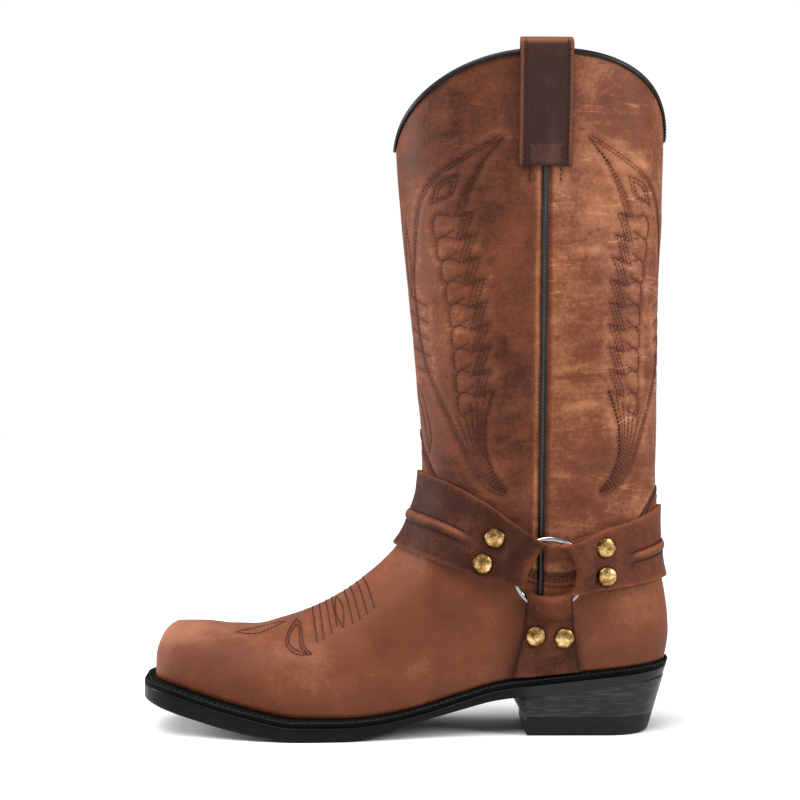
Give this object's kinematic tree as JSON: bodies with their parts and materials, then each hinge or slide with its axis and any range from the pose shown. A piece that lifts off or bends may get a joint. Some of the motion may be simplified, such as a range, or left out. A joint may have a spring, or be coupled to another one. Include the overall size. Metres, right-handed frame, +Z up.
{
  "type": "motorcycle boot",
  "caption": "Tall pull-on harness boot for a left foot: square toe, stacked heel, welted sole, and leather straps riveted round a steel ring on each side of the ankle.",
  "frame": {"origin": "on the floor, below the middle of the boot's box", "axes": "+Z up the shaft, -X towards the toe, -Y towards the outer (lateral) side"},
  "size_m": [0.3052, 0.1062, 0.3939],
  "materials": {
    "upper_leather": "oiled pull-up leather, mottled brown, soft sheen",
    "strap_leather": "darker oiled leather straps, raw lighter edges",
    "pull_strap_leather": "dark oiled leather pull straps",
    "black_trim": "glossy black piping and binding",
    "insole_leather": "natural insole leather",
    "welt": "black stitched welt, satin",
    "sole_rubber": "black sole, matte edge",
    "heel_stack": "black stacked heel, satin, faint layers",
    "heel_rubber": "black rubber top lift, matte",
    "steel": "bright nickel-plated steel wire",
    "brass": "antique brass, dented domes with dark patina"
  },
  "bodies": {
    "root": {"collar_binding": "black_trim", "front_strap": "strap_leather", "heel_cap": "heel_rubber", "heel_stack": "heel_stack", "heel_strap": "strap_leather", "insole": "insole_leather", "outsole": "sole_rubber", "pull_strap_lateral": "pull_strap_leather", "pull_strap_medial": "pull_strap_leather", "ring_lateral": "steel", "ring_medial": "steel", "rivet_front_lower_lateral": "brass", "rivet_front_lower_medial": "brass", "rivet_front_upper_lateral": "brass", "rivet_front_upper_medial": "brass", "rivet_heel_lower_lateral": "brass", "rivet_heel_lower_medial": "brass", "rivet_heel_upper_lateral": "brass", "rivet_heel_upper_medial": "brass", "rivet_side_back_lateral": "brass", "rivet_side_back_medial": "brass", "rivet_side_front_lateral": "brass", "rivet_side_front_medial": "brass", "side_piping_lateral": "black_trim", "side_piping_medial": "black_trim", "side_strap_lateral": "strap_leather", "side_strap_medial": "strap_leather", "upper": "upper_leather", "welt": "welt"}
  },
  "joints": []
}
